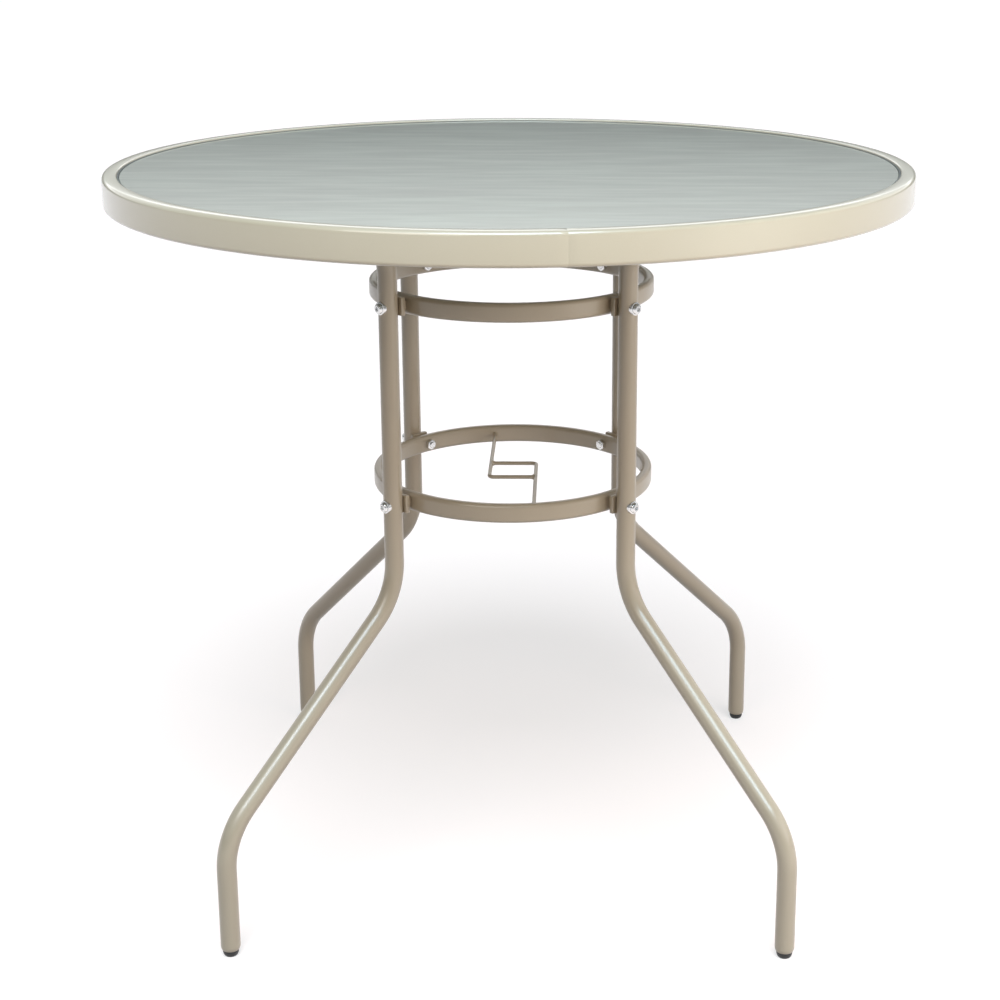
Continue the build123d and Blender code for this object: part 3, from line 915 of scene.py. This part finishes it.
glass_low, glass_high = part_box("glass_top")
glass_radius = glass_high.x
gasket_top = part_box("glass_gasket")[1].z + GASKET_LIP
gasket_inside = rim_inside + RIM_SMALL_CORNER
gasket_corners = [
    (rim_land_radius, rim_floor, GASKET_SQUARE),
    (rim_land_radius, gasket_top, GASKET_ROUND),
    (glass_radius, gasket_top, GASKET_ROUND),
    (glass_radius, glass_low.z, GASKET_SQUARE),
    (gasket_inside, glass_low.z, GASKET_ROUND),
    (gasket_inside, rim_floor, GASKET_SQUARE),
]
gasket_outline = rounded_outline(gasket_corners, GASKET_CORNER_STEPS)
gasket_rings = [circle(radius, height, GASKET_SEGMENTS) for radius, height in gasket_outline]
gasket_rubber = moulded("gasket_rubber", GASKET_DARK, GASKET_PALE, GASKET_ROUGHNESS, GASKET_GRAIN)
gasket_shape = shelled("rubber_gasket", gasket_rubber, skinned(gasket_rings, closed=True))
settle(placed("rubber_gasket", gasket_shape), "gasket", "glass_gasket")


# Glass top. One disc of toughened glass, polished on top with its edges ground off, and rolled with a
# ripple on its underside, so that light comes through it but the frame below hardly shows.
GLASS_ARRIS = 0.0008
RIPPLE_CELLS = 200
RIPPLE_DEPTH = 0.0007
RIPPLE_LENGTH = 0.110
RIPPLE_WIDTH = 0.016
RIPPLE_EDGE = 0.012
RIPPLE_MIDDLE = 0.5
LONG_WAVE_SHARE = 0.4
SHORT_WAVE_SHARE = 0.2
SHORT_WAVE_SCALE = 2.3
SHORT_WAVE_LAYER = 5
RIPPLE_BUMP_STRENGTH = 0.5
RIPPLE_BUMP_DEPTH = 0.0015
GLASS_TINT = (0.41, 0.44, 0.37, 1)
GLASS_SHADE = (0.23, 0.25, 0.208, 1)
GLASS_ROUGHNESS = (0.40, 0.55)
GLASS_CLEARNESS = 0.2
GLASS_POLISH = 0.05
GLASS_IOR = 1.5


def ripple(x, y):
    """How far the rolled pattern rises into the glass, from none at the bedded edge."""
    along = x / RIPPLE_LENGTH
    across = y / RIPPLE_WIDTH
    long_wave = noise.noise((along, across, 0))
    short_wave = noise.noise((SHORT_WAVE_SCALE * along, SHORT_WAVE_SCALE * across, SHORT_WAVE_LAYER))
    fade = min(1, (glass_radius - math.hypot(x, y)) / RIPPLE_EDGE)
    rise = RIPPLE_MIDDLE + LONG_WAVE_SHARE * long_wave + SHORT_WAVE_SHARE * short_wave
    return RIPPLE_DEPTH * fade * rise


def disc_point(column, row, radius):
    """A point of a square grid drawn out to fill a round disc."""
    u = 2 * column / RIPPLE_CELLS - 1
    v = 2 * row / RIPPLE_CELLS - 1
    return radius * u * math.sqrt(1 - v * v / 2), radius * v * math.sqrt(1 - u * u / 2)


def ripple_glass(name):
    """Pale green glass with a clear polished face over a cloudy, rippled body."""
    finish, tree, shader = finish_named(name)
    shader.inputs["Transmission Weight"].default_value = GLASS_CLEARNESS
    shader.inputs["IOR"].default_value = GLASS_IOR
    shader.inputs["Coat Weight"].default_value = 1
    shader.inputs["Coat Roughness"].default_value = GLASS_POLISH
    shader.inputs["Coat IOR"].default_value = GLASS_IOR
    waves = pattern(tree, 1, detail=3, stretch=(1 / RIPPLE_LENGTH, 1 / RIPPLE_WIDTH, 1))
    streaks = spread(tree, waves, 0, 1)
    tree.links.new(between(tree, streaks, GLASS_SHADE, GLASS_TINT), shader.inputs["Base Color"])
    tree.links.new(spread(tree, waves, *GLASS_ROUGHNESS), shader.inputs["Roughness"])
    tree.links.new(relief(tree, waves, RIPPLE_BUMP_STRENGTH, RIPPLE_BUMP_DEPTH), shader.inputs["Normal"])
    return finish


flat_radius = glass_radius - GLASS_ARRIS
under_points = []
for row in range(RIPPLE_CELLS + 1):
    for column in range(RIPPLE_CELLS + 1):
        x, y = disc_point(column, row, flat_radius)
        under_points.append((x, y, glass_low.z + ripple(x, y)))
row_length = RIPPLE_CELLS + 1
under_faces = []
for row in range(RIPPLE_CELLS):
    for column in range(RIPPLE_CELLS):
        first = row * row_length + column
        under_faces.append((first, first + row_length, first + row_length + 1, first + 1))
edge_cells = [(column, 0) for column in range(RIPPLE_CELLS)]
edge_cells += [(RIPPLE_CELLS, row) for row in range(RIPPLE_CELLS)]
edge_cells += [(RIPPLE_CELLS - column, RIPPLE_CELLS) for column in range(RIPPLE_CELLS)]
edge_cells += [(0, RIPPLE_CELLS - row) for row in range(RIPPLE_CELLS)]
edge_profile = [
    (flat_radius, glass_low.z),
    (glass_radius, glass_low.z + GLASS_ARRIS),
    (glass_radius, glass_high.z - GLASS_ARRIS),
    (flat_radius, glass_high.z),
]
edge_rings = []
for radius, height in edge_profile:
    edge_rings.append([(*disc_point(column, row, radius), height) for column, row in edge_cells])
edge_points, edge_faces = skinned(edge_rings)
del edge_faces[-2]
glass = ripple_glass("ripple_glass")
glass_shape = shelled("glass_disc", glass, (under_points, under_faces), (edge_points, edge_faces))
settle(placed("glass_disc", glass_shape), "glass", "glass_top")


# Arm bolts and nuts. The same zinc plated bolts and nuts as on the hoops, but short: each goes up through
# a rim tab and the flat end of an arm, and the nut sits on top, under the glass.
ARM_BOLT_RADIUS = 0.357

paddle_top = PADDLE_HEIGHT + PADDLE_THICKNESS / 2
arm_stack = paddle_top - tab_low.z
head_down = Matrix.Rotation(math.radians(90), 4, "Y")
arm_bolt_shape = shelled("arm_bolt_one", zinc, bolt_shell(arm_stack + NUT_HEIGHT + BOLT_TIP, arm_stack))
arm_bolt_shape.transform(head_down)
arm_bolts = at_corners("zinc_arm_bolts", zinc, arm_bolt_shape, ARM_BOLT_RADIUS, [tab_low.z])
settle(arm_bolts, "zinc", "arm_bolts")
arm_nut_shape = shelled("arm_nut_one", zinc, nut_shell(NUT_HEIGHT))
arm_nut_shape.transform(head_down)
arm_nuts = at_corners("zinc_arm_nuts", zinc, arm_nut_shape, ARM_BOLT_RADIUS, [paddle_top])
settle(arm_nuts, "zinc", "arm_nuts")


# Floor and light. A plain pale floor that runs out past the picture, under a sky that is bright low down at
# the back and right of the table. A broad cool sun stands high in front, and softboxes at the front left, at
# the right and in front of the rim fill in the upright parts. Two of these don't show in glossy pieces.
FLOOR_HALF = 60
# The floor has a tint and a glow where it is seen, and a darker tint for the light that it throws back.
FLOOR_TINT = (0.64, 0.475, 0.42, 1)
FLOOR_GLOW = (0.475, 0.54, 0.565, 1)
NO_GLOW = (0, 0, 0, 1)
FLOOR_BOUNCE = (0.12, 0.105, 0.085, 1)
FLOOR_ROUGHNESS = 0.9
FLOOR_SPECULAR = 0.1
SKY_TINTS = {
    0.0: (0.25, 0.26, 0.25, 1),
    0.105: (0.08, 0.085, 0.08, 1),
    0.175: (0.95, 0.965, 0.94, 1),
    0.182: (2.3, 2.32, 2.26, 1),
    0.2: (2.1, 2.12, 2.06, 1),
    0.25: (1.0, 1.0, 1.0, 1),
    0.45: (1.05, 1.05, 1.05, 1),
    0.6: (0.33, 0.33, 0.33, 1),
    1.0: (0.28, 0.29, 0.30, 1),
}
SKY_BRIGHT_SIDE = (0.5, 0.8, 0)
SKY_DIM_FROM = -0.6
SKY_BRIGHT_FROM = 0.3
SKY_DIM_SHARE = 0.3
SUN_STRENGTH = 2.9
SUN_WIDTH = 36
SUN_TURN = (28, 0, 4)
SUN_TINT = (0.64, 0.85, 1.0)
# Each softbox has a power, a width, a height, a place, an aim and a tint.
SOFTBOXES = {
    "front_softbox": (8.0, 0.9, 0.9, (-0.65, -1.4, 1.5), (-0.1, -0.2, 0.5), (1.0, 0.95, 0.88)),
    "right_softbox": (6.0, 0.7, 0.5, (1.1, -0.70, 0.5), (0, 0, 0.5), (1.0, 1.0, 0.98)),
    "low_softbox": (2.4, 1.0, 0.25, (0.55, -1.25, 0.90), (0, 0, 0.55), (1.0, 0.86, 0.70)),
}
UNMIRRORED = ("right_softbox", "low_softbox")

floor_shape = bpy.data.meshes.new("floor")
floor_corners = [(-1, -1), (1, -1), (1, 1), (-1, 1)]
floor_shape.from_pydata([(x * FLOOR_HALF, y * FLOOR_HALF, 0) for x, y in floor_corners], [], [(0, 1, 2, 3)])
floor = bpy.data.objects.new("floor", floor_shape)
bpy.context.collection.objects.link(floor)
floor_finish, floor_tree, floor_shader = finish_named("floor_white")
ray = add(floor_tree, "ShaderNodeLightPath")
seen = ray.outputs["Is Camera Ray"]
for kind in ("Is Glossy Ray", "Is Transmission Ray"):
    either = add(floor_tree, "ShaderNodeMath")
    floor_tree.links.new(seen, either.inputs[0])
    floor_tree.links.new(ray.outputs[kind], either.inputs[1])
    seen = either.outputs["Value"]
floor_tree.links.new(between(floor_tree, seen, FLOOR_BOUNCE, FLOOR_TINT), floor_shader.inputs["Base Color"])
floor_tree.links.new(between(floor_tree, seen, NO_GLOW, FLOOR_GLOW), floor_shader.inputs["Emission Color"])
floor_shader.inputs["Emission Strength"].default_value = 1
floor_shader.inputs["Roughness"].default_value = FLOOR_ROUGHNESS
floor_shader.inputs["Specular IOR Level"].default_value = FLOOR_SPECULAR
floor_shape.materials.append(floor_finish)

sky = bpy.data.worlds.new("sky")
bpy.context.scene.world = sky
sky.use_nodes = True
sky_tree = sky.node_tree
sky_light = sky_tree.nodes["Background"]
direction = add(sky_tree, "ShaderNodeTexCoord")
split = add(sky_tree, "ShaderNodeSeparateXYZ")
gradient = add(sky_tree, "ShaderNodeValToRGB")
for height in list(SKY_TINTS)[1:-1]:
    gradient.color_ramp.elements.new(height)
for stop, (height, tint) in zip(gradient.color_ramp.elements, SKY_TINTS.items()):
    stop.position = height
    stop.color = tint
sky_tree.links.new(direction.outputs["Generated"], split.inputs["Vector"])
sky_tree.links.new(split.outputs["Z"], gradient.inputs["Fac"])
sky_tree.links.new(gradient.outputs["Color"], sky_light.inputs["Color"])
towards = add(sky_tree, "ShaderNodeVectorMath")
towards.operation = "DOT_PRODUCT"
towards.inputs[1].default_value = SKY_BRIGHT_SIDE
sky_limits = {"From_Min": SKY_DIM_FROM, "From_Max": SKY_BRIGHT_FROM, "To_Min": SKY_DIM_SHARE, "To_Max": 1}
sides = add(sky_tree, "ShaderNodeMapRange", **sky_limits)
sky_tree.links.new(direction.outputs["Generated"], towards.inputs[0])
sky_tree.links.new(towards.outputs["Value"], sides.inputs["Value"])
sky_tree.links.new(sides.outputs["Result"], sky_light.inputs["Strength"])

sun = bpy.data.objects.new("top_light", bpy.data.lights.new("top_light", "SUN"))
sun.data.energy = SUN_STRENGTH
sun.data.angle = math.radians(SUN_WIDTH)
sun.data.color = SUN_TINT
sun.rotation_euler = [math.radians(part) for part in SUN_TURN]
bpy.context.collection.objects.link(sun)
for name, (power, width, height, place, aim, tint) in SOFTBOXES.items():
    softbox = bpy.data.objects.new(name, bpy.data.lights.new(name, "AREA"))
    softbox.data.energy = power
    softbox.data.shape = "RECTANGLE"
    softbox.data.size = width
    softbox.data.size_y = height
    softbox.data.color = tint
    softbox.location = place
    softbox.rotation_euler = (Vector(aim) - Vector(place)).to_track_quat("-Z", "Y").to_euler()
    softbox.visible_camera = False
    softbox.visible_glossy = name not in UNMIRRORED
    bpy.context.collection.objects.link(softbox)

scene = bpy.context.scene
scene.view_settings.view_transform = "Standard"


# Camera. It stands in front of the table, about a quarter of a metre higher than the glass, and looks a
# little down. A small shift of the lens sets the table in the frame.
CAMERA_PLACE = (0.060, -1.817, 0.979)
CAMERA_DOWN = 15.26
CAMERA_LEFT = 0.34
CAMERA_LENS = 65.27
CAMERA_SENSOR = 36
CAMERA_SHIFT = (-0.06, -0.10)

camera = bpy.data.objects.new("camera", bpy.data.cameras.new("camera"))
camera.location = CAMERA_PLACE
camera.rotation_euler = (math.radians(90 - CAMERA_DOWN), 0, math.radians(CAMERA_LEFT))
camera.data.lens = CAMERA_LENS
camera.data.sensor_width = CAMERA_SENSOR
camera.data.shift_x, camera.data.shift_y = CAMERA_SHIFT
camera.data.clip_end = 2 * FLOOR_HALF
bpy.context.collection.objects.link(camera)
scene.camera = camera
